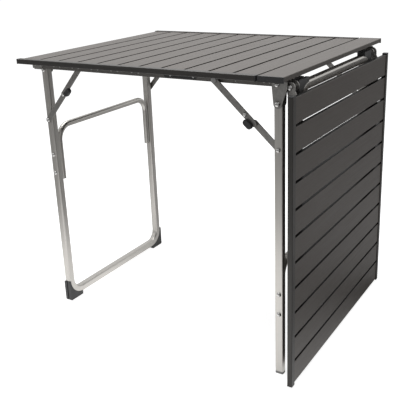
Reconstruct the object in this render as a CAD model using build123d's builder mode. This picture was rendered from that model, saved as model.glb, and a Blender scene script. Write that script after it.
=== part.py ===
from build123d import *
import math
import os

os.makedirs("parts", exist_ok=True)

# Folding slat table, millimetres, +Z up, origin on the floor under the middle of the table.
# It stands as a half table: the main leaf is level, and the second leaf hangs at the right.

# Overall size
height = 700
depth = 600
overall_length = 742
leaf_length = 660
leaf_drop = 696.5
top = height
left = -overall_length / 2
right = overall_length / 2
front = -depth / 2
leaf_bottom = top - leaf_drop
leaf_top = leaf_bottom + leaf_length

# Slats and the profiles round them
slat_count = 11
slat_pitch = 59.9
slat_width = 54
slat_inset = 3.5
slat_thickness = 9
slat_wall = 1.2
slat_corner = 1.2
slat_cells = 2
profile_height = 12
profile_lip = 14
profile_wall = 1.5
profile_corner = 1.4
cap_flange = 2.5
slat_top_gap = profile_wall
slat_underside = slat_top_gap + slat_thickness

# Board between the leaves
board_left = left + 664
board_right = left + 721
board_cap = 4

# Rails under the slats: depth is measured down from the top face of a leaf
rail_near = front + 44
rail_far = front + 70
rail_wall = 1.5
rail_bottom = 28.5
rail_start = 8
leaf_rail_start = 16
main_rail_end = left + 706
leaf_rail_end = top - 45
centre_rail_width = 18
centre_rail_bottom = 26.5
centre_rail_end = left + 684
rivet_spacing = 19
bracket_runs = (21, 38)
rivet_depth = 20.3
rivet_head = 2.3
rivet_head_height = 1.2
rivet_shank = 1.5
spare_hole = (left + 590, top - 22)
spare_hole_radius = 2

# Black plate on each main rail
rail_plate_left = left + 410
rail_plate_right = left + 495
rail_plate_runs = (428, 488)
rail_plate_depth = 21
rail_plate_height = 10
rail_plate_thickness = 1.6

# Leaf hinge
hinge = (left + 714, top - 28)
hinge_radius = 11
hinge_plate_thickness = 3
ear_near = front + 46
ear_far = ear_near + hinge_plate_thickness
ear_length = 90
hinge_head = 3
hinge_plate_runs = (657, 670)
hinge_plate_start = left + 650
hinge_plate_notch = top - 14
hinge_plate_foot = hinge[1] - 2
ear_neck = hinge[0] - 5
ear_tip = 8
ear_neck_length = 25

# Leg frames
tube = 20
tube_corner = 5
tube_wall = 1.6
bend = 40
leg_line = front + 89
bar_lift = 18
cross_radius = 8
cross_wall = 1.2
foot_run = 50
foot_height = 58
foot_thickness = 20
foot_edge = 3
foot_groove = (4, 2)
left_pivot = (left + 10, top - 39)
leaf_pivot = (right - 31, top - 688)
leaf_bar = top - 37
leg_past_pivot = 9
cross_bar_from_pivot = 156
cross_end_from_pivot = 301
cross_rivets_from_pivot = (227, 278)

# Middle frame and the brackets that carry it
post_width = 20
post_depth = 15
post_wall = 1.5
post_corner = 3
post_near = front + 40
post_far = post_near + post_depth
middle_pivot = (left + 691, top - 62)
post_past_pivot = 12
post_cap = 6
slot_length = 88
slot_width = 4
middle_cross_x = left + 687
middle_cross_bar = top - 423
middle_cross_end = top - 553
middle_cross_rivets = (top - 495, top - 545)
bracket_start = left + 678
outer_bracket_end = left + 712
inner_bracket_end = left + 702
bracket_top = top - 16
bracket_shoulder = top - 30
bracket_plate = 2.5
bracket_radius = 10
spacer_radius = 6
bracket_bolt = (left + 690, top - 22.5)

# Braces: two links that stand straight when the legs are down
link_thickness = 2.5
link_half = 7
link_gap = 1
pivot_radius = 3
running_clearance = 0.06
side_gap = 0.5
running_gap = 0.3
left_upper_pin = (left + 140.6, top - 23.5)
left_lower_pin = (left + 10, top - 170)
left_upper_share = 0.5
middle_upper_pin = (left + 543, top - 23.5)
middle_lower_pin = (left + 691, top - 160)
middle_upper_share = 126 / 202.1
middle_head_share = 0.79
leaf_upper_pin = (right - 23.5, leaf_bottom + 154)
leaf_lower_pin = (right - 31, leaf_bottom + 139.5)
leaf_knee = (right - 29, leaf_bottom + 56)
inner_link_near = rail_far + link_gap
outer_link_near = rail_near - 7.5

# Heads of the bolts and rivets
head_radius = 6
small_head = 5
bolt_head = 2.5
small_bolt_head = 2
flat_head = 0.5
flat_gap = 0.2
knee_head = 4.5
knee_head_height = 1.5

# Lock knobs on the upper links
knob_radius = 7
knob_length = 24
knob_offset = 9
knob_height = 8
left_knob_reach = 80
middle_knob_reach = 118


def along(start, end, share):
    """The point at a share of the way from start to end."""
    return (start[0] + share * (end[0] - start[0]), start[1] + share * (end[1] - start[1]))


def save(builder, name):
    """Label the finished piece and write it."""
    builder.part.label = name
    export_step(builder.part, f"parts/{name}.step")


def block(x, y, z, mode=Mode.ADD):
    """A box from its limits along each axis."""
    with Locations(((x[0] + x[1]) / 2, (y[0] + y[1]) / 2, (z[0] + z[1]) / 2)):
        Box(x[1] - x[0], y[1] - y[0], z[1] - z[0], mode=mode)


def pin(centre, radius, y, mode=Mode.ADD):
    """A round bar along Y through the point centre, given as (x, z)."""
    with Locations(Location((centre[0], (y[0] + y[1]) / 2, centre[1]), (90, 0, 0))):
        Cylinder(radius, y[1] - y[0], mode=mode)


def link(start, end, y, holes):
    """A flat link with round ends from start to end, and holes at the places of its pivots."""
    length = math.dist(start, end)
    angle = math.degrees(math.atan2(end[1] - start[1], end[0] - start[0]))
    middle = along(start, end, 0.5)
    with BuildSketch(Plane.XZ.offset(-y[1])) as outline:
        with Locations(Location((middle[0], middle[1], 0), (0, 0, 1), angle)):
            SlotCenterToCenter(length, 2 * link_half)
        with Locations(*holes):
            Circle(pivot_radius + running_clearance, mode=Mode.SUBTRACT)
    extrude(outline.sketch, amount=y[1] - y[0])


def plate(points, y):
    """A flat plate across Y from the corners of its outline."""
    with BuildSketch(Plane.XZ.offset(-y[1])) as outline:
        with BuildLine():
            Polyline(*points, close=True)
        make_face()
    extrude(outline.sketch, amount=y[1] - y[0])


def u_path(x, leg, end, bar):
    """The line of a U-shaped tube in the plane at x, from one leg's end round to the other's."""
    with BuildLine(Plane.YZ.offset(x)) as path:
        FilletPolyline((leg, end), (leg, bar), (-leg, bar), (-leg, end), radius=bend)
    return path.line


def square_tube(path, hollow=True, mode=Mode.ADD):
    """The square leg tube along a path; not hollow, it is the room that the tube takes."""
    with BuildSketch(Plane(path @ 0, x_dir=(1, 0, 0), z_dir=path % 0)) as section:
        RectangleRounded(tube, tube, tube_corner)
        if hollow:
            bore = tube - 2 * tube_wall
            RectangleRounded(bore, bore, tube_corner - tube_wall, mode=Mode.SUBTRACT)
    sweep(section.sketch, path=path, mode=mode)


def round_tube(path):
    """The round cross tube along a path."""
    with BuildSketch(Plane(path @ 0, x_dir=(1, 0, 0), z_dir=path % 0)) as section:
        Circle(cross_radius)
        Circle(cross_radius - cross_wall, mode=Mode.SUBTRACT)
    sweep(section.sketch, path=path)


# Slats: hollow extrusions with one rib, all running from front to back
def make_slat(name, x, z, turn):
    cell = (slat_width - (slat_cells + 1) * slat_wall) / slat_cells
    length = depth - 2 * profile_wall
    with BuildPart() as slat:
        with BuildSketch(Plane.XZ.offset(-length / 2)):
            with Locations(Location((x, z, 0), (0, 0, 1), turn)):
                RectangleRounded(slat_width, slat_thickness, slat_corner)
                with GridLocations(cell + slat_wall, 0, slat_cells, 1):
                    Rectangle(cell, slat_thickness - 2 * slat_wall, mode=Mode.SUBTRACT)
        extrude(amount=length)
    save(slat, name)


for index in range(slat_count):
    middle = slat_inset + slat_width / 2 + index * slat_pitch
    mid_depth = slat_top_gap + slat_thickness / 2
    make_slat(f"main_slat_{index + 1:02d}", left + middle, top - mid_depth, 0)
    make_slat(f"leaf_slat_{index + 1:02d}", right - mid_depth, leaf_bottom + middle, 90)

# Board between the leaves: a closed box profile with a rib
with BuildPart() as centre_board:
    board_length = depth - 2 * board_cap
    board_width = board_right - board_left
    board_cell = (board_width - 3 * profile_wall) / 2
    with BuildSketch(Plane.XZ.offset(-board_length / 2)):
        with Locations(((board_left + board_right) / 2, top - slat_underside / 2)):
            RectangleRounded(board_width, slat_underside, profile_corner)
            with GridLocations(board_cell + profile_wall, 0, 2, 1):
                Rectangle(board_cell, slat_underside - 2 * profile_wall, mode=Mode.SUBTRACT)
    extrude(amount=board_length)
save(centre_board, "centre_board")

# Edge profiles: a C that the slat ends sit in, front and back
with BuildPart() as main_edges:
    span = (left + cap_flange, left + leaf_length - cap_flange)
    block(span, (front, front + profile_lip), (top - profile_height, top))
    outer_edges = main_edges.edges().filter_by(Axis.X).group_by(Axis.Y)[0]
    fillet(outer_edges, profile_corner)
    block(
        span,
        (front + profile_wall, front + profile_lip),
        (top - slat_underside, top - slat_top_gap),
        Mode.SUBTRACT,
    )
    mirror(about=Plane.XZ)
save(main_edges, "main_edges")

with BuildPart() as leaf_edges:
    span = (leaf_bottom + cap_flange, leaf_top - cap_flange)
    block((right - profile_height, right), (front, front + profile_lip), span)
    outer_edges = leaf_edges.edges().filter_by(Axis.Z).group_by(Axis.Y)[0]
    fillet(outer_edges, profile_corner)
    block(
        (right - slat_underside, right - slat_top_gap),
        (front + profile_wall, front + profile_lip),
        span,
        Mode.SUBTRACT,
    )
    mirror(about=Plane.XZ)
save(leaf_edges, "leaf_edges")

# Plastic caps on the ends of the edge profiles and of the centre board
with BuildPart() as main_end_caps:
    for start in (left, left + leaf_length - cap_flange):
        block((start, start + cap_flange), (front, front + profile_lip), (top - profile_height, top))
    block((board_left, board_right), (front, front + board_cap), (top - profile_height, top))
    rounded = main_end_caps.edges().filter_by(Axis.Z).group_by(Axis.Y)[0]
    fillet(rounded, profile_corner / 2)
    mirror(about=Plane.XZ)
save(main_end_caps, "main_end_caps")

with BuildPart() as leaf_end_caps:
    for start in (leaf_bottom, leaf_top - cap_flange):
        block((right - profile_height, right), (front, front + profile_lip), (start, start + cap_flange))
    rounded = leaf_end_caps.edges().filter_by(Axis.X).group_by(Axis.Y)[0]
    fillet(rounded, profile_corner / 2)
    mirror(about=Plane.XZ)
save(leaf_end_caps, "leaf_end_caps")


def rivet_runs(slats):
    """Places of the rivet pairs along a rail, one pair under the middle of each slat."""
    middles = [slat_inset + slat_width / 2 + index * slat_pitch for index in slats]
    return [middle + side * rivet_spacing / 2 for middle in middles for side in (-1, 1)]


# The first slat's place is under the leg bracket, and the rail plate covers the eighth's
main_runs = rivet_runs(range(1, 6)) + list(hinge_plate_runs)
main_rivet_places = [(left + run, top - rivet_depth) for run in main_runs]
plate_rivet_places = [(left + run, top - rail_plate_depth) for run in rail_plate_runs]
leaf_runs = rivet_runs(range(1, slat_count - 1))
leaf_rivet_places = [(right - rivet_depth, leaf_bottom + run) for run in leaf_runs]

left_bracket_rivets = [(left + run, top - rivet_depth) for run in bracket_runs]
leaf_bracket_rivets = [(right - rivet_depth, leaf_bottom + run) for run in bracket_runs]
front_wall = (rail_near, rail_near + rail_wall)
back_wall = (rail_far - rail_wall, rail_far)
rail_inside = (rail_near + rail_wall, rail_far - rail_wall)


# Main rails: channels open downwards, with the holes for rivets and pivots
def make_main_rail(name, back):
    with BuildPart() as rail:
        run = (left + rail_start, main_rail_end)
        block(run, (rail_near, rail_far), (top - rail_bottom, top - slat_underside))
        block(run, rail_inside, (top - rail_bottom, top - slat_underside - rail_wall), Mode.SUBTRACT)
        for place in main_rivet_places + plate_rivet_places + left_bracket_rivets:
            pin(place, rivet_shank, front_wall, Mode.SUBTRACT)
        pin(spare_hole, spare_hole_radius, front_wall, Mode.SUBTRACT)
        pin(bracket_bolt, pivot_radius, front_wall, Mode.SUBTRACT)
        pin(middle_upper_pin, pivot_radius, front_wall, Mode.SUBTRACT)
        pin(left_upper_pin, pivot_radius, back_wall, Mode.SUBTRACT)
        if back:
            mirror(about=Plane.XZ, mode=Mode.REPLACE)
    save(rail, name)


make_main_rail("front_rail", False)
make_main_rail("back_rail", True)

with BuildPart() as centre_rail:
    run = (left + rail_start, centre_rail_end)
    half = centre_rail_width / 2
    block(run, (-half, half), (top - centre_rail_bottom, top - slat_underside))
    block(
        run,
        (-half + rail_wall, half - rail_wall),
        (top - centre_rail_bottom, top - slat_underside - rail_wall),
        Mode.SUBTRACT,
    )
save(centre_rail, "centre_rail")

with BuildPart() as leaf_rails:
    run = (leaf_bottom + leaf_rail_start, leaf_rail_end)
    block((right - rail_bottom, right - slat_underside), (rail_near, rail_far), run)
    block((right - rail_bottom, right - slat_underside - rail_wall), rail_inside, run, Mode.SUBTRACT)
    for place in leaf_rivet_places + leaf_bracket_rivets:
        pin(place, rivet_shank, front_wall, Mode.SUBTRACT)
    pin(leaf_upper_pin, pivot_radius, back_wall, Mode.SUBTRACT)
    mirror(about=Plane.XZ)
save(leaf_rails, "leaf_rails")


def rivet(place, y_face):
    """A rivet whose head stands on the face at y_face, with its shank through to the rail's wall."""
    pin(place, rivet_head, (y_face - rivet_head_height, y_face))
    pin(place, rivet_shank, (y_face, rail_near + rail_wall))


bracket_sheet = 2
bracket_face = rail_near - bracket_sheet

with BuildPart() as rail_rivets:
    for place in main_rivet_places:
        rivet(place, rail_near)
    for place in plate_rivet_places:
        rivet(place, rail_near - rail_plate_thickness)
    for place in left_bracket_rivets:
        rivet(place, bracket_face)
    mirror(about=Plane.XZ)
save(rail_rivets, "rail_rivets")

# Black plates with round ends on the outer faces of the main rails
with BuildPart() as rail_plates:
    with BuildSketch(Plane.XZ.offset(-rail_near)):
        with Locations(((rail_plate_left + rail_plate_right) / 2, top - rail_plate_depth)):
            SlotOverall(rail_plate_right - rail_plate_left, rail_plate_height)
    extrude(amount=rail_plate_thickness)
    for place in plate_rivet_places:
        pin(place, rivet_shank, (rail_near - rail_plate_thickness, rail_near), Mode.SUBTRACT)
    mirror(about=Plane.XZ)
save(rail_plates, "rail_plates")

# Leg brackets at the rails' outer ends: a folded sheet with a lug down to the pivot
lug_thickness = 3
thin_sheet = 0.7
leg_outer_face = leg_line - tube / 2
leg_inner_face = leg_line + tube / 2
lug_near = leg_inner_face + side_gap
lug_far = lug_near + lug_thickness
back_cheek = (rail_far, rail_far + thin_sheet)
lug_width = 20
lug_radius = 10
web_end = 28
cheek_start = 10
cheek_end = 48
cheek_foot = 40
cheek_chamfer = (6, 8)
sheet_gap = 1

with BuildPart() as left_leg_brackets:
    sheet_top = top - slat_underside - sheet_gap
    sheet_bottom = top - rail_bottom - bracket_sheet
    plate(
        [
            (left + cheek_start, sheet_top),
            (left + cheek_end, sheet_top),
            (left + cheek_foot, sheet_bottom),
            (left + cheek_start + cheek_chamfer[0], sheet_bottom),
            (left + cheek_start, sheet_bottom + cheek_chamfer[1]),
        ],
        (bracket_face, rail_near),
    )
    web = (left + cheek_start + cheek_chamfer[0], left + web_end)
    block(web, (bracket_face, back_cheek[1]), (sheet_bottom, top - rail_bottom))
    block(web, back_cheek, (sheet_bottom, sheet_top))
    block((left, left + web_end), (back_cheek[0], lug_far), (sheet_top - bracket_sheet, sheet_top))
    block((left, left + lug_width), (lug_near, lug_far), (left_pivot[1], sheet_top))
    pin(left_pivot, lug_radius, (lug_near, lug_far))
    pin(left_pivot, pivot_radius, (lug_near, lug_far), Mode.SUBTRACT)
    for place in left_bracket_rivets:
        pin(place, rivet_shank, (bracket_face, rail_near), Mode.SUBTRACT)
    mirror(about=Plane.XZ)
save(left_leg_brackets, "left_leg_brackets")

with BuildPart() as leaf_leg_brackets:
    sheet_top = right - slat_underside - sheet_gap
    sheet_bottom = right - rail_bottom - bracket_sheet
    plate(
        [
            (sheet_top, leaf_bottom + cheek_start),
            (sheet_top, leaf_bottom + cheek_end),
            (sheet_bottom, leaf_bottom + cheek_foot),
            (sheet_bottom, leaf_bottom + cheek_start + cheek_chamfer[0]),
            (sheet_bottom + cheek_chamfer[1], leaf_bottom + cheek_start),
        ],
        (bracket_face, rail_near),
    )
    web = (leaf_bottom + cheek_start + cheek_chamfer[0], leaf_bottom + web_end)
    block((sheet_bottom, right - rail_bottom), (bracket_face, back_cheek[1]), web)
    block((sheet_bottom, sheet_top), back_cheek, web)
    flange = (sheet_top - bracket_sheet, sheet_top)
    block(flange, (back_cheek[0], lug_far), (leaf_bottom, leaf_bottom + web_end))
    block((leaf_pivot[0], sheet_top), (lug_near, lug_far), (leaf_bottom, leaf_pivot[1] + leg_past_pivot))
    pin(leaf_pivot, leg_past_pivot - 1, (lug_near, lug_far))
    pin(leaf_pivot, pivot_radius, (lug_near, lug_far), Mode.SUBTRACT)
    for place in leaf_bracket_rivets:
        pin(place, rivet_shank, (bracket_face, rail_near), Mode.SUBTRACT)
    mirror(about=Plane.XZ)
save(leaf_leg_brackets, "leaf_leg_brackets")

# Middle leg brackets: a plate each side of the leg, held to the rail by a spaced bolt
outer_plate = (post_near - side_gap - bracket_plate, post_near - side_gap)
inner_plate = (post_far + side_gap, post_far + side_gap + bracket_plate)

with BuildPart() as middle_leg_brackets:
    for y, end in ((outer_plate, outer_bracket_end), (inner_plate, inner_bracket_end)):
        plate(
            [
                (bracket_start, bracket_top),
                (end, bracket_top),
                (end, bracket_shoulder),
                (middle_pivot[0] + bracket_radius, middle_pivot[1]),
                (middle_pivot[0] - bracket_radius, middle_pivot[1]),
                (bracket_start, bracket_shoulder),
            ],
            y,
        )
        pin(middle_pivot, bracket_radius, y)
    pin(bracket_bolt, spacer_radius, (outer_plate[1], rail_near))
    for place in (bracket_bolt, middle_pivot):
        pin(place, pivot_radius, (outer_plate[0], inner_plate[1]), Mode.SUBTRACT)
    mirror(about=Plane.XZ)
save(middle_leg_brackets, "middle_leg_brackets")

# Leaf hinge: plates in the main rails, ears on the leaf's rails
hinge_plate = (rail_inside[1] - hinge_plate_thickness, rail_inside[1])

with BuildPart() as hinge_plates:
    block(
        (hinge_plate_start, hinge[0]),
        hinge_plate,
        (hinge_plate_foot, top - slat_underside - rail_wall),
    )
    notch = (main_rail_end, hinge[0] + hinge_radius)
    block(notch, hinge_plate, (hinge[1], hinge_plate_notch), Mode.SUBTRACT)
    pin(hinge, hinge_radius, hinge_plate)
    pin(hinge, pivot_radius, hinge_plate, Mode.SUBTRACT)
    mirror(about=Plane.XZ)
save(hinge_plates, "hinge_plates")

with BuildPart() as hinge_ears:
    ear = (ear_near, ear_far)
    seat = right - slat_underside - rail_wall
    plate(
        [
            (hinge[0] + hinge_radius, hinge[1]),
            (hinge[0] + hinge_radius, hinge[1] - ear_tip),
            (seat, leaf_rail_end - 2),
            (seat, leaf_rail_end - ear_length),
            (seat - ear_tip, leaf_rail_end - ear_length),
            (ear_neck, leaf_rail_end - ear_neck_length),
            (ear_neck, leaf_rail_end),
            (hinge[0] - hinge_radius + 2, hinge[1]),
        ],
        ear,
    )
    pin(hinge, hinge_radius, ear)
    pin(hinge, pivot_radius + running_clearance, ear, Mode.SUBTRACT)
    mirror(about=Plane.XZ)
save(hinge_ears, "hinge_ears")


# Leg frames of square tube, bent to a U, with a foot on each bend and a round cross tube
def make_leg_frame(name, pivot, bar, lower_pin):
    """A U of square tube; the sign of bar - pivot says which way its legs run."""
    way = math.copysign(1, bar - pivot[1])
    path = u_path(pivot[0], leg_line, pivot[1] - way * leg_past_pivot, bar)
    with BuildPart() as frame:
        square_tube(path)
        both_walls = (leg_outer_face, leg_inner_face)
        pin(pivot, pivot_radius + running_clearance, both_walls, Mode.SUBTRACT)
        pin(pivot, pivot_radius + running_clearance, (-both_walls[1], -both_walls[0]), Mode.SUBTRACT)
        outer_wall = (leg_outer_face, leg_outer_face + tube_wall)
        pin(lower_pin, pivot_radius, outer_wall, Mode.SUBTRACT)
        pin(lower_pin, pivot_radius, (-outer_wall[1], -outer_wall[0]), Mode.SUBTRACT)
    save(frame, name)


def make_cross_tube(name, x, leg_face, bar, end):
    with BuildPart() as cross_tube:
        round_tube(u_path(x, leg_face + cross_radius, end, bar))
    save(cross_tube, name)


def make_feet(name, pivot, bar):
    """Corner feet that hug the outside of the bends, with a groove up the middle of their outer faces."""
    way = math.copysign(1, bar - pivot[1])
    sole = bar + way * bar_lift
    outside = leg_outer_face - foot_edge
    bend_centre = (leg_line + bend, bar - way * bend)
    path = u_path(pivot[0], leg_line, pivot[1], bar)
    with BuildPart() as feet:
        with BuildSketch(Plane.YZ.offset(pivot[0] - foot_thickness / 2)) as outline:
            with Locations((outside + foot_run / 2, sole - way * foot_height / 2)):
                Rectangle(foot_run, foot_height)
            fillet(outline.vertices().group_by(Axis.Y)[0], foot_edge)
            with Locations(bend_centre):
                Circle(bend + tube / 2 - foot_edge, mode=Mode.SUBTRACT)
        extrude(amount=foot_thickness)
        square_tube(path, hollow=False, mode=Mode.SUBTRACT)
        middle = (pivot[0] - foot_groove[0] / 2, pivot[0] + foot_groove[0] / 2)
        run = (outside, outside + foot_run)
        block(middle, run, sorted((sole, sole - way * foot_groove[1])), Mode.SUBTRACT)
        rise = sorted((sole, sole - way * foot_height))
        block(middle, (outside, outside + foot_groove[1]), rise, Mode.SUBTRACT)
        mirror(about=Plane.XZ)
    save(feet, name)


left_bar = bar_lift
make_leg_frame("left_leg_frame", left_pivot, left_bar, left_lower_pin)
make_cross_tube(
    "left_cross_tube",
    left_pivot[0],
    leg_inner_face,
    left_pivot[1] - cross_bar_from_pivot,
    left_pivot[1] - cross_end_from_pivot,
)
make_feet("left_feet", left_pivot, left_bar)

make_leg_frame("leaf_leg_frame", leaf_pivot, leaf_bar, leaf_lower_pin)
make_cross_tube(
    "leaf_cross_tube",
    leaf_pivot[0],
    leg_inner_face,
    leaf_pivot[1] + cross_bar_from_pivot,
    leaf_pivot[1] + cross_end_from_pivot,
)
make_feet("leaf_feet", leaf_pivot, leaf_bar)

# Middle frame: two square posts with a slot for the lower brace link
post_side = middle_pivot[0] - post_width / 2
slot_side = (post_side - 1, post_side + post_wall + side_gap)
slot_reach = (middle_lower_pin[1] - 2, middle_lower_pin[1] + slot_length)
slot_gap = (post_near + post_wall, post_near + post_wall + slot_width)
post_top = middle_pivot[1] + post_past_pivot

with BuildPart() as middle_legs:
    with BuildSketch(Plane.XY.offset(post_cap)):
        with Locations((middle_pivot[0], (post_near + post_far) / 2)):
            RectangleRounded(post_width, post_depth, post_corner)
            bore_size = (post_width - 2 * post_wall, post_depth - 2 * post_wall)
            RectangleRounded(*bore_size, post_corner - post_wall, mode=Mode.SUBTRACT)
    extrude(amount=post_top - post_cap)
    pin(middle_pivot, pivot_radius + running_clearance, (post_near, post_far), Mode.SUBTRACT)
    pin(middle_lower_pin, pivot_radius, (post_near, post_near + post_wall), Mode.SUBTRACT)
    block(slot_side, slot_gap, slot_reach, Mode.SUBTRACT)
    mirror(about=Plane.XZ)
save(middle_legs, "middle_legs")

with BuildPart() as middle_leg_plugs:
    with BuildSketch(Plane.XY):
        with Locations((middle_pivot[0], (post_near + post_far) / 2)):
            RectangleRounded(post_width, post_depth, post_corner)
    extrude(amount=post_cap)
    mirror(about=Plane.XZ)
save(middle_leg_plugs, "middle_leg_plugs")

make_cross_tube("middle_cross_tube", middle_cross_x, post_far, middle_cross_bar, middle_cross_end)

# Brace links
left_knee = along(left_upper_pin, left_lower_pin, left_upper_share)
middle_knee = along(middle_upper_pin, middle_lower_pin, middle_upper_share)
upper_inner = (inner_link_near, inner_link_near + link_thickness)
lower_inner = (upper_inner[1] + link_gap, upper_inner[1] + link_gap + link_thickness)
upper_outer = (outer_link_near, outer_link_near + link_thickness)
lower_post_near = post_near + post_wall + side_gap
lower_post = (lower_post_near, lower_post_near + link_thickness)


def make_upper_links(name, start, end, y, heads):
    """Links that hang from a rail, with the heads of their knee rivets on the outer face."""
    with BuildPart() as links:
        link(start, end, y, [start])
        for place in heads:
            pin(place, knee_head, (y[0] - knee_head_height, y[0]))
        mirror(about=Plane.XZ)
    save(links, name)


def make_lower_links(name, start, end, y):
    """Links that stand on a leg and reach up to the knee."""
    with BuildPart() as links:
        link(start, end, y, [start, end])
        mirror(about=Plane.XZ)
    save(links, name)


middle_head = along(middle_upper_pin, middle_knee, middle_head_share)
make_upper_links("left_upper_links", left_upper_pin, left_knee, upper_inner, [left_knee])
make_lower_links("left_lower_links", left_lower_pin, left_knee, lower_inner)
make_upper_links("middle_upper_links", middle_upper_pin, middle_knee, upper_outer, [middle_head])
make_lower_links("middle_lower_links", middle_lower_pin, middle_knee, lower_post)
make_upper_links("leaf_upper_links", leaf_upper_pin, leaf_knee, upper_inner, [])
make_lower_links("leaf_lower_links", leaf_lower_pin, leaf_knee, lower_inner)


# Lock knobs: a round-ended black slider at the lower edge of each upper link
def make_knobs(name, start, end, distance, side, link_face):
    length = math.dist(start, end)
    direction = ((end[0] - start[0]) / length, (end[1] - start[1]) / length)
    across = (-side * direction[1], side * direction[0])
    centre_x = start[0] + distance * direction[0] + knob_offset * across[0]
    centre_z = start[1] + distance * direction[1] + knob_offset * across[1]
    angle = math.degrees(math.atan2(direction[1], direction[0]))
    with BuildPart() as knobs:
        with BuildSketch(Plane.XZ.offset(-link_face)):
            with Locations(Location((centre_x, centre_z, 0), (0, 0, 1), angle)):
                SlotOverall(knob_length, 2 * knob_radius)
        extrude(amount=knob_height)
        fillet(knobs.faces().sort_by(Axis.Y)[0].edges(), knob_height / 3)
        mirror(about=Plane.XZ)
    save(knobs, name)


make_knobs("left_lock_knobs", left_upper_pin, left_knee, left_knob_reach, 1, upper_inner[0])
make_knobs("middle_lock_knobs", middle_upper_pin, middle_knee, middle_knob_reach, -1, upper_outer[0])

# Pivot bolts of the main leaf: frame pivots, brace pivots, bracket bolts and hinge bolts
with BuildPart() as pivot_bolts:
    # left frame
    pin(left_pivot, small_head, (leg_outer_face - running_gap - bolt_head, leg_outer_face - running_gap))
    pin(left_pivot, pivot_radius, (leg_outer_face - running_gap, lug_far))
    pin(left_pivot, head_radius, (lug_far, lug_far + bolt_head))
    # left upper links
    pin(left_upper_pin, small_head, (back_wall[0] - small_bolt_head, back_wall[0]))
    pin(left_upper_pin, pivot_radius, (back_wall[0], upper_inner[1] + flat_gap + flat_head))
    pin(left_upper_pin, small_head, (rail_far, upper_inner[0] - running_gap))
    pin(left_upper_pin, small_head, (upper_inner[1] + flat_gap, upper_inner[1] + flat_gap + flat_head))
    # middle frame
    pin(middle_pivot, head_radius, (outer_plate[0] - bolt_head, outer_plate[0]))
    pin(middle_pivot, pivot_radius, (outer_plate[0], inner_plate[1]))
    pin(middle_pivot, head_radius, (inner_plate[1], inner_plate[1] + bolt_head))
    # middle upper links
    head_face = upper_outer[0] - running_gap
    pin(middle_upper_pin, head_radius, (head_face - bolt_head, head_face))
    pin(middle_upper_pin, pivot_radius, (head_face, rail_inside[0] + bolt_head))
    pin(middle_upper_pin, head_radius, (upper_outer[1] + running_gap, rail_near))
    pin(middle_upper_pin, head_radius, (rail_inside[0], rail_inside[0] + bolt_head))
    # middle brackets
    pin(bracket_bolt, small_head, (outer_plate[0] - small_bolt_head, outer_plate[0]))
    pin(bracket_bolt, pivot_radius, (outer_plate[0], inner_plate[1]))
    pin(bracket_bolt, small_head, (inner_plate[1], inner_plate[1] + small_bolt_head))
    # leaf hinge
    pin(hinge, head_radius, (ear_near - running_gap - hinge_head, ear_near - running_gap))
    pin(hinge, pivot_radius, (ear_near - running_gap, hinge_plate[1]))
    pin(hinge, head_radius, (ear_far + running_gap, hinge_plate[0]))
    pin(hinge, head_radius, (hinge_plate[1], hinge_plate[1] + hinge_head))
    mirror(about=Plane.XZ)
save(pivot_bolts, "pivot_bolts")

# Fasteners of the leaf: its rivets, and the pivots of its frame and upper links
with BuildPart() as leaf_fasteners:
    for place in leaf_rivet_places:
        rivet(place, rail_near)
    for place in leaf_bracket_rivets:
        rivet(place, bracket_face)
    pin(leaf_pivot, small_head, (leg_outer_face - running_gap - bolt_head, leg_outer_face - running_gap))
    pin(leaf_pivot, pivot_radius, (leg_outer_face - running_gap, lug_far))
    pin(leaf_pivot, small_head, (lug_far, lug_far + bolt_head))
    pin(leaf_upper_pin, small_head, (back_wall[0] - small_bolt_head, back_wall[0]))
    pin(leaf_upper_pin, pivot_radius, (back_wall[0], upper_inner[1] + flat_gap + flat_head))
    pin(leaf_upper_pin, small_head, (upper_inner[1] + flat_gap, upper_inner[1] + flat_gap + flat_head))
    mirror(about=Plane.XZ)
save(leaf_fasteners, "leaf_fasteners")


# Rivets of a bent frame: the lower links' pivots and the heads that hold the cross tube
def make_frame_rivets(name, pivot, lower_pin, way):
    with BuildPart() as rivets:
        pin(lower_pin, small_head, (lower_inner[0] - flat_gap - flat_head, lower_inner[0] - flat_gap))
        pin(lower_pin, pivot_radius, (lower_inner[0] - flat_gap - flat_head, leg_outer_face + tube_wall))
        pin(lower_pin, small_head, (lower_inner[1] + running_gap, leg_outer_face))
        for reach in cross_rivets_from_pivot:
            place = (pivot[0], pivot[1] + way * reach)
            pin(place, rivet_head + 1, (leg_outer_face - rivet_head_height, leg_outer_face))
        mirror(about=Plane.XZ)
    save(rivets, name)


make_frame_rivets("left_frame_rivets", left_pivot, left_lower_pin, -1)
make_frame_rivets("leaf_frame_rivets", leaf_pivot, leaf_lower_pin, 1)

with BuildPart() as middle_frame_rivets:
    pin(middle_lower_pin, small_head, (post_near - knee_head_height, post_near))
    pin(middle_lower_pin, pivot_radius, (post_near, lower_post[1] + knee_head_height))
    pin(middle_lower_pin, small_head, (lower_post[1] + running_gap, lower_post[1] + knee_head_height))
    for place_z in middle_cross_rivets:
        pin((middle_pivot[0], place_z), rivet_head + 1, (post_near - rivet_head_height, post_near))
    mirror(about=Plane.XZ)
save(middle_frame_rivets, "middle_frame_rivets")
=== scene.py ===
import math

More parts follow.
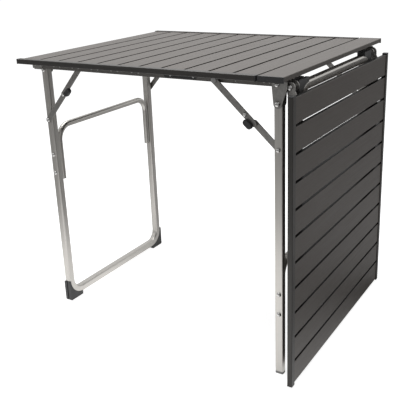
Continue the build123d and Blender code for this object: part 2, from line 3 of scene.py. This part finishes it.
import bpy
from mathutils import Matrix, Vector


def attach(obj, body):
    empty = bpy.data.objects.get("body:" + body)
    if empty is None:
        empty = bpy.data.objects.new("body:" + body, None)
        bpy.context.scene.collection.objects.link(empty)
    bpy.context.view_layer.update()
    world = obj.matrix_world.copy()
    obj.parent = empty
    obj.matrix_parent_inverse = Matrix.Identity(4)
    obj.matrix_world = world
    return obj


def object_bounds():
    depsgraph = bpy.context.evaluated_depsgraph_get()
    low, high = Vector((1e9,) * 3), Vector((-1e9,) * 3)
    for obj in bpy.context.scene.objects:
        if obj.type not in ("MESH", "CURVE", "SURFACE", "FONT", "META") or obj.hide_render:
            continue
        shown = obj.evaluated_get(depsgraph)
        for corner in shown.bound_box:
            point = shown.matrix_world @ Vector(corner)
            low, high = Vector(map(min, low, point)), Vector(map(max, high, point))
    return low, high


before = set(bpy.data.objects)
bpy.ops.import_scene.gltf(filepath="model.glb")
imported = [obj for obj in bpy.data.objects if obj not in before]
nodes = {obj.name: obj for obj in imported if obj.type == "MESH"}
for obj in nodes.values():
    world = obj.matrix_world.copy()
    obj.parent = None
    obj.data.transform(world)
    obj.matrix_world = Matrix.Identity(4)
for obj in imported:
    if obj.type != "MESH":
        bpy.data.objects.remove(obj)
cad_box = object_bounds()

# The front left corner of the top, metres: places below are measured from it in millimetres
LEFT = cad_box[0][0]
FRONT = cad_box[0][1]
TOP = cad_box[1][2]
MM_IN_METRE = 1000

# Camera fitted to the table's corners in the photograph
CAMERA_PLACE = (0.9088, -1.4813, 0.9412)
CAMERA_TURN = (71.335, 2.038, 31.269)
CAMERA_LENS = 58.82
CAMERA_SHIFT = (-0.0008, -0.0732)
SENSOR = 36.0

# Colours, linear
SLAT = (0.074, 0.063, 0.055)
EDGE = (0.038, 0.035, 0.032)
# Near-black painted shade for the slat side walls in the gaps
GAP_SHADE = (0.006, 0.006, 0.006)
RAIL = (0.15, 0.142, 0.134)
TUBE = (0.47, 0.455, 0.43)
STEEL = (0.29, 0.282, 0.27)
LINK = (0.28, 0.272, 0.26)
BOLT = (0.50, 0.495, 0.485)
RIVET = (0.55, 0.545, 0.535)
PLASTIC = (0.022, 0.022, 0.023)
FOOT = (0.040, 0.040, 0.041)
PLUG = (0.42, 0.415, 0.405)
FLOOR = (0.58, 0.58, 0.58)
WHITE = (1, 1, 1)

# Drawn grain: the texture's scale along X, Y and Z, low along the draw
GRAIN_ALONG_X = (5, 420, 420)
GRAIN_ALONG_Y = (420, 5, 420)
GRAIN_ALONG_Z = (420, 420, 5)
LEG_GRAIN = (300, 300, 4)
CROSS_GRAIN = (300, 4, 300)
PLATE_GRAIN = (160, 160, 160)
HEAD_GRAIN = (220, 220, 220)
GRAIN_DEPTH = 0.0004
GRAIN_ROUGH_SWING = 0.06

# The part of a noise between whose ends a colour or value runs
NOISE_SPREAD = (0.3, 0.7)

# Broad clouds over the metal
CLOUD_SCALE = (9, 9, 9)
CLOUD_DARK = (0.93, 0.93, 0.93)

# Mould grain of the plastics
EVEN_SCALE = (1, 1, 1)
MOULD_FINE = 900.0
MOULD_BROAD = 40.0
MOULD_DEPTH = 0.0003
MOULD_BUMP = 0.25
MOULD_ROUGH_SWING = 0.08
MOULD_SHADES = (0.8, 1.25)

# Painted shade in the slat gaps: how squarely a face looks along its axis, from gap wall to open face, and
# the gloss of each
GAP_SHADE_TURN = (0.55, 0.85)
FACE_GLOSS = 0.5
GAP_SHADE_GLOSS = 0.08

# Floor: lift to white for the camera, and a painted pool of light near the table that glows only in
# reflections
FLOOR_REACH = 14.0
FLOOR_ROUGH = 0.9
FLOOR_LIFT = 0.84
POOL_CENTRE = (-0.14, -0.4, 0.0)
POOL_REACH = (0.4, 0.8)
POOL_LEVEL = 1.4

# Room: its level as light, its level in front in reflections, and the turn from front to back
ROOM_LIGHT = 0.35
ROOM_FRONT = 0.34
ROOM_TURN = (-0.3, 0.3)

# Lamps: name, place, target, size and power
LAMPS = (
    ("overhead", (-0.3, 0.1, 2.6), (0, 0, 0.4), 1.8, 58),
    ("left_fill", (-2.2, -1.8, 1.7), (0, 0, 0.2), 1.6, 7),
)


# Node helpers
def new_material(name):
    """A node material, its node tree and its shader."""
    material = bpy.data.materials.new(name)
    material.use_nodes = True
    tree = material.node_tree
    shader = tree.nodes["Principled BSDF"]
    return material, tree, shader


def stretched_coords(tree, scale):
    """Object coordinates stretched by a scale along each axis."""
    coords = tree.nodes.new("ShaderNodeTexCoord")
    mapping = tree.nodes.new("ShaderNodeMapping")
    mapping.inputs["Scale"].default_value = scale
    tree.links.new(coords.outputs["Object"], mapping.inputs["Vector"])
    return mapping.outputs["Vector"]


def noise(tree, vector, scale, detail, rough):
    texture = tree.nodes.new("ShaderNodeTexNoise")
    texture.inputs["Scale"].default_value = scale
    texture.inputs["Detail"].default_value = detail
    texture.inputs["Roughness"].default_value = rough
    tree.links.new(vector, texture.inputs["Vector"])
    return texture.outputs["Fac"]


def ramp(tree, value, low, high):
    """A noise mapped to a run between two colours."""
    node = tree.nodes.new("ShaderNodeValToRGB")
    node.color_ramp.elements[0].position = NOISE_SPREAD[0]
    node.color_ramp.elements[1].position = NOISE_SPREAD[1]
    node.color_ramp.elements[0].color = (*low, 1)
    node.color_ramp.elements[1].color = (*high, 1)
    tree.links.new(value, node.inputs["Fac"])
    return node.outputs["Color"]


def remap(tree, value, low, high, spread=NOISE_SPREAD):
    """A value mapped to a run between two values."""
    node = tree.nodes.new("ShaderNodeMapRange")
    node.inputs["From Min"].default_value = spread[0]
    node.inputs["From Max"].default_value = spread[1]
    node.inputs["To Min"].default_value = low
    node.inputs["To Max"].default_value = high
    tree.links.new(value, node.inputs["Value"])
    return node.outputs["Result"]


def join(tree, operation, first, second):
    """Two values put together by a Math node."""
    node = tree.nodes.new("ShaderNodeMath")
    node.operation = operation
    tree.links.new(first, node.inputs[0])
    tree.links.new(second, node.inputs[1])
    return node.outputs["Value"]


def add_bump(tree, shader, value, strength, distance):
    bump = tree.nodes.new("ShaderNodeBump")
    bump.inputs["Strength"].default_value = strength
    bump.inputs["Distance"].default_value = distance
    tree.links.new(value, bump.inputs["Height"])
    tree.links.new(bump.outputs["Normal"], shader.inputs["Normal"])


def shade(colour, factor):
    return tuple(channel * factor for channel in colour)


def worn_metal(name, colour, grain, metallic, rough, spread=0.12, bump=0.12):
    """Metal with drawn grain, whose colour swings by the spread either way."""
    material, tree, shader = new_material(name)
    lines = noise(tree, stretched_coords(tree, grain), scale=1.0, detail=6.0, rough=0.6)
    clouds = noise(tree, stretched_coords(tree, CLOUD_SCALE), scale=1.0, detail=3.0, rough=0.5)
    low = shade(colour, 1 - spread)
    high = shade(colour, 1 + spread)
    mix = tree.nodes.new("ShaderNodeMix")
    mix.data_type = "RGBA"
    mix.blend_type = "MULTIPLY"
    mix.inputs["Factor"].default_value = 1.0
    tree.links.new(ramp(tree, lines, low, high), mix.inputs["A"])
    tree.links.new(ramp(tree, clouds, CLOUD_DARK, WHITE), mix.inputs["B"])
    tree.links.new(mix.outputs["Result"], shader.inputs["Base Color"])
    smooth = rough - GRAIN_ROUGH_SWING
    dull = rough + GRAIN_ROUGH_SWING
    tree.links.new(remap(tree, lines, smooth, dull), shader.inputs["Roughness"])
    shader.inputs["Metallic"].default_value = metallic
    add_bump(tree, shader, lines, bump, GRAIN_DEPTH)
    return material


def moulded_plastic(name, colour, rough):
    """Plastic with the fine grain of a mould."""
    material, tree, shader = new_material(name)
    fine = noise(tree, stretched_coords(tree, EVEN_SCALE), MOULD_FINE, detail=3.0, rough=0.6)
    broad = noise(tree, stretched_coords(tree, EVEN_SCALE), MOULD_BROAD, detail=3.0, rough=0.5)
    low, high = (shade(colour, factor) for factor in MOULD_SHADES)
    tree.links.new(ramp(tree, broad, low, high), shader.inputs["Base Color"])
    smooth = rough - MOULD_ROUGH_SWING
    dull = rough + MOULD_ROUGH_SWING
    tree.links.new(remap(tree, fine, smooth, dull), shader.inputs["Roughness"])
    add_bump(tree, shader, fine, MOULD_BUMP, MOULD_DEPTH)
    return material


def paint_gap_shade(material, axis):
    """Painted shade in the slat gaps: every face that doesn't look along the given axis of its piece gets a
    dull near-black colour.
    """
    tree = material.node_tree
    shader = tree.nodes["Principled BSDF"]
    coords = tree.nodes.new("ShaderNodeTexCoord")
    split = tree.nodes.new("ShaderNodeSeparateXYZ")
    tree.links.new(coords.outputs["Normal"], split.inputs["Vector"])
    facing = tree.nodes.new("ShaderNodeMath")
    facing.operation = "ABSOLUTE"
    tree.links.new(split.outputs[axis], facing.inputs[0])
    # Mask of painted shade: full on the gap walls, none on the open faces
    gap_shade = remap(tree, facing.outputs["Value"], 1.0, 0.0, GAP_SHADE_TURN)
    mix = tree.nodes.new("ShaderNodeMix")
    mix.data_type = "RGBA"
    tree.links.new(gap_shade, mix.inputs["Factor"])
    tree.links.new(shader.inputs["Base Color"].links[0].from_socket, mix.inputs["A"])
    mix.inputs["B"].default_value = (*GAP_SHADE, 1)
    tree.links.new(mix.outputs["Result"], shader.inputs["Base Color"])
    gloss = remap(tree, gap_shade, FACE_GLOSS, GAP_SHADE_GLOSS, (0, 1))
    tree.links.new(gloss, shader.inputs["Specular IOR Level"])


# Materials of the object: grain runs along the slats, along the edge profiles or down the tubes
slat_material = worn_metal("slat_anodised", SLAT, GRAIN_ALONG_Y, metallic=0.25, rough=0.44)
main_slat_material = worn_metal("main_slat_anodised", SLAT, GRAIN_ALONG_Y, metallic=0.25, rough=0.44)
leaf_slat_material = worn_metal("leaf_slat_anodised", SLAT, GRAIN_ALONG_Y, metallic=0.25, rough=0.44)
edge_x_material = worn_metal("edge_anodised", EDGE, GRAIN_ALONG_X, metallic=0.25, rough=0.42)
edge_z_material = worn_metal("leaf_edge_anodised", EDGE, GRAIN_ALONG_Z, metallic=0.25, rough=0.42)
rail_x_material = worn_metal("rail_anodised", RAIL, GRAIN_ALONG_X, metallic=0.5, rough=0.42)
rail_z_material = worn_metal("leaf_rail_anodised", RAIL, GRAIN_ALONG_Z, metallic=0.5, rough=0.42)
leg_material = worn_metal("leg_aluminium", TUBE, LEG_GRAIN, metallic=1.0, rough=0.36, spread=0.06)
cross_material = worn_metal("cross_aluminium", TUBE, CROSS_GRAIN, metallic=1.0, rough=0.34, spread=0.06)
steel_material = worn_metal("bracket_zinc", STEEL, PLATE_GRAIN, metallic=0.85, rough=0.42, spread=0.14)
link_material = worn_metal("link_zinc", LINK, PLATE_GRAIN, metallic=0.85, rough=0.40, spread=0.14)
rivet_material = worn_metal("rivet_dull", RIVET, HEAD_GRAIN, metallic=0.9, rough=0.3, spread=0.08, bump=0.05)
bolt_material = worn_metal("bolt_plated", BOLT, HEAD_GRAIN, metallic=1.0, rough=0.14, spread=0.08, bump=0.03)
plastic_material = moulded_plastic("moulded_black", PLASTIC, rough=0.48)
foot_material = moulded_plastic("foot_black", FOOT, rough=0.5)
plug_material = moulded_plastic("plug_grey", PLUG, rough=0.5)

# Painted shade on the slat side walls that face into the gaps
paint_gap_shade(main_slat_material, "Z")
paint_gap_shade(leaf_slat_material, "X")


def dress(material, *names):
    """Give CAD nodes a material."""
    for name in names:
        mesh = nodes[name].data
        mesh.materials.clear()
        mesh.materials.append(material)


for name in nodes:
    if name.startswith("main_slat_"):
        dress(main_slat_material, name)
    if name.startswith("leaf_slat_"):
        dress(leaf_slat_material, name)
dress(slat_material, "centre_board")
dress(edge_x_material, "main_edges")
dress(edge_z_material, "leaf_edges")
dress(rail_x_material, "front_rail", "back_rail", "centre_rail")
dress(rail_z_material, "leaf_rails")
dress(leg_material, "left_leg_frame", "middle_legs", "leaf_leg_frame")
dress(cross_material, "left_cross_tube", "middle_cross_tube", "leaf_cross_tube")
dress(steel_material, "left_leg_brackets", "middle_leg_brackets", "leaf_leg_brackets")
dress(steel_material, "hinge_plates", "hinge_ears")
dress(link_material, "left_upper_links", "left_lower_links")
dress(link_material, "middle_upper_links", "middle_lower_links")
dress(link_material, "leaf_upper_links", "leaf_lower_links")
dress(rivet_material, "rail_rivets", "leaf_fasteners")
dress(bolt_material, "pivot_bolts")
dress(bolt_material, "left_frame_rivets", "middle_frame_rivets", "leaf_frame_rivets")
dress(plastic_material, "main_end_caps", "leaf_end_caps", "rail_plates")
dress(plastic_material, "left_lock_knobs", "middle_lock_knobs")
dress(plug_material, "middle_leg_plugs")
dress(foot_material, "left_feet", "leaf_feet")


# Domed heads on the bolts and rivets that show, on a flat head or a leg's face, and the same at the back:
# place across and down from the corner, depth of the face, radius and rise in millimetres, and body
DOMES = (
    ((10, -39), 76.2, 5.0, 3.2, "tabletop"),
    ((75.3, -96.75), 69.5, 4.5, 3.0, "left_upper_link"),
    ((10, -170), 73.8, 5.0, 3.2, "left_frame"),
    ((10, -266), 79.0, 5.4, 4.2, "left_frame"),
    ((10, -317), 79.0, 5.4, 4.2, "left_frame"),
    ((714, -28), 42.7, 6.0, 2.4, "tabletop"),
    ((690, -22.5), 35.0, 5.0, 3.2, "tabletop"),
    ((691, -62), 34.5, 6.0, 3.6, "tabletop"),
    ((615.9, -90.73), 35.0, 4.5, 3.0, "middle_upper_link"),
    ((691, -160), 38.5, 5.0, 3.2, "middle_frame"),
    ((691, -495), 40.0, 5.6, 4.2, "middle_frame"),
    ((691, -545), 40.0, 5.6, 4.2, "middle_frame"),
    ((711, -461), 79.0, 3.6, 3.4, "leaf_frame"),
    ((711, -410), 79.0, 3.6, 3.4, "leaf_frame"),
)
DOME_SIDES = 24
DOME_RINGS = 5


def make_dome(name, place, face, radius, rise, body, back):
    """A rounded cap turned about Y, with its flat base on a face and its crown outwards."""
    side = -1 if back else 1
    centre_x = LEFT + place[0] / MM_IN_METRE
    centre_z = TOP + place[1] / MM_IN_METRE
    centre_y = side * (FRONT + face / MM_IN_METRE)
    points = []
    for ring in range(DOME_RINGS):
        lean = math.pi / 2 * ring / DOME_RINGS
        reach = radius / MM_IN_METRE * math.cos(lean)
        out = centre_y - side * rise / MM_IN_METRE * math.sin(lean)
        for step in range(DOME_SIDES):
            turn = 2 * math.pi * step / DOME_SIDES
            points.append((centre_x + reach * math.cos(turn), out, centre_z + reach * math.sin(turn)))
    points.append((centre_x, centre_y - side * rise / MM_IN_METRE, centre_z))
    faces = [tuple(range(DOME_SIDES))]
    for ring in range(DOME_RINGS - 1):
        low = ring * DOME_SIDES
        for step in range(DOME_SIDES):
            after = (step + 1) % DOME_SIDES
            faces.append((low + step, low + after, low + DOME_SIDES + after, low + DOME_SIDES + step))
    last = (DOME_RINGS - 1) * DOME_SIDES
    for step in range(DOME_SIDES):
        faces.append((last + step, last + (step + 1) % DOME_SIDES, len(points) - 1))
    mesh = bpy.data.meshes.new(name)
    mesh.from_pydata(points, [], faces if back else [loop[::-1] for loop in faces])
    mesh.materials.append(bolt_material)
    for polygon in mesh.polygons:
        polygon.use_smooth = len(polygon.vertices) < DOME_SIDES
    dome = bpy.data.objects.new(name, mesh)
    bpy.context.scene.collection.objects.link(dome)
    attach(dome, body)


for count, dome_place in enumerate(DOMES):
    for back in (False, True):
        make_dome(f"dome_{count:02d}_{'back' if back else 'front'}", *dome_place, back)


# Floor, world and lamps
def make_floor():
    """A floor lifted to the background's white for the camera, with the table's shadow on it, and a painted
    pool of light near the table that shows only in reflections.
    """
    mesh = bpy.data.meshes.new("floor")
    corners = [(-1, -1), (1, -1), (1, 1), (-1, 1)]
    mesh.from_pydata([(x * FLOOR_REACH, y * FLOOR_REACH, 0) for x, y in corners], [], [(0, 1, 2, 3)])
    floor = bpy.data.objects.new("floor", mesh)
    bpy.context.scene.collection.objects.link(floor)
    material, tree, shader = new_material("floor_white")
    shader.inputs["Base Color"].default_value = (*FLOOR, 1)
    shader.inputs["Roughness"].default_value = FLOOR_ROUGH
    shader.inputs["Specular IOR Level"].default_value = 0.0
    shader.inputs["Emission Color"].default_value = (*WHITE, 1)
    path = tree.nodes.new("ShaderNodeLightPath")
    coords = tree.nodes.new("ShaderNodeTexCoord")
    distance = tree.nodes.new("ShaderNodeVectorMath")
    distance.operation = "DISTANCE"
    distance.inputs[1].default_value = POOL_CENTRE
    tree.links.new(coords.outputs["Object"], distance.inputs[0])
    # Painted pool of light: a glow near the table that only reflections see
    pool = remap(tree, distance.outputs["Value"], POOL_LEVEL, 0.0, POOL_REACH)
    mirrored = join(tree, "MULTIPLY", path.outputs["Is Glossy Ray"], pool)
    seen = join(tree, "MAXIMUM", path.outputs["Is Camera Ray"], mirrored)
    lift = remap(tree, seen, 0.0, FLOOR_LIFT * POOL_LEVEL, (0, POOL_LEVEL))
    tree.links.new(lift, shader.inputs["Emission Strength"])
    mesh.materials.append(material)


def make_world(level):
    """A pale room: white to the camera and behind the table in reflections, at the given level as light."""
    world = bpy.data.worlds.new("pale_room")
    world.use_nodes = True
    tree = world.node_tree
    background = tree.nodes["Background"]
    background.inputs["Color"].default_value = (*WHITE, 1)
    path = tree.nodes.new("ShaderNodeLightPath")
    coords = tree.nodes.new("ShaderNodeTexCoord")
    split = tree.nodes.new("ShaderNodeSeparateXYZ")
    tree.links.new(coords.outputs["Generated"], split.inputs["Vector"])
    room = remap(tree, split.outputs["Y"], ROOM_FRONT, 1.0, ROOM_TURN)
    mirrored = join(tree, "MAXIMUM", path.outputs["Is Glossy Ray"], path.outputs["Is Transmission Ray"])
    reflected = join(tree, "MULTIPLY", mirrored, room)
    shown = join(tree, "MAXIMUM", path.outputs["Is Camera Ray"], reflected)
    tree.links.new(remap(tree, shown, level, 1.0, (0, 1)), background.inputs["Strength"])
    bpy.context.scene.world = world


def make_lamp(name, place, target, size, power):
    """A square area lamp turned to its target."""
    data = bpy.data.lights.new(name, "AREA")
    data.size = size
    data.energy = power
    lamp = bpy.data.objects.new(name, data)
    lamp.location = place
    lamp.rotation_euler = (Vector(target) - Vector(place)).to_track_quat("-Z", "Y").to_euler()
    bpy.context.scene.collection.objects.link(lamp)


make_floor()
make_world(ROOM_LIGHT)
for lamp_values in LAMPS:
    make_lamp(*lamp_values)

# Camera
camera_data = bpy.data.cameras.new("camera")
camera_data.sensor_width = SENSOR
camera_data.lens = CAMERA_LENS
camera_data.shift_x = CAMERA_SHIFT[0]
camera_data.shift_y = CAMERA_SHIFT[1]
camera = bpy.data.objects.new("camera", camera_data)
camera.location = CAMERA_PLACE
camera.rotation_euler = tuple(math.radians(angle) for angle in CAMERA_TURN)
bpy.context.scene.collection.objects.link(camera)
bpy.context.scene.camera = camera
bpy.context.scene.view_settings.view_transform = "Standard"
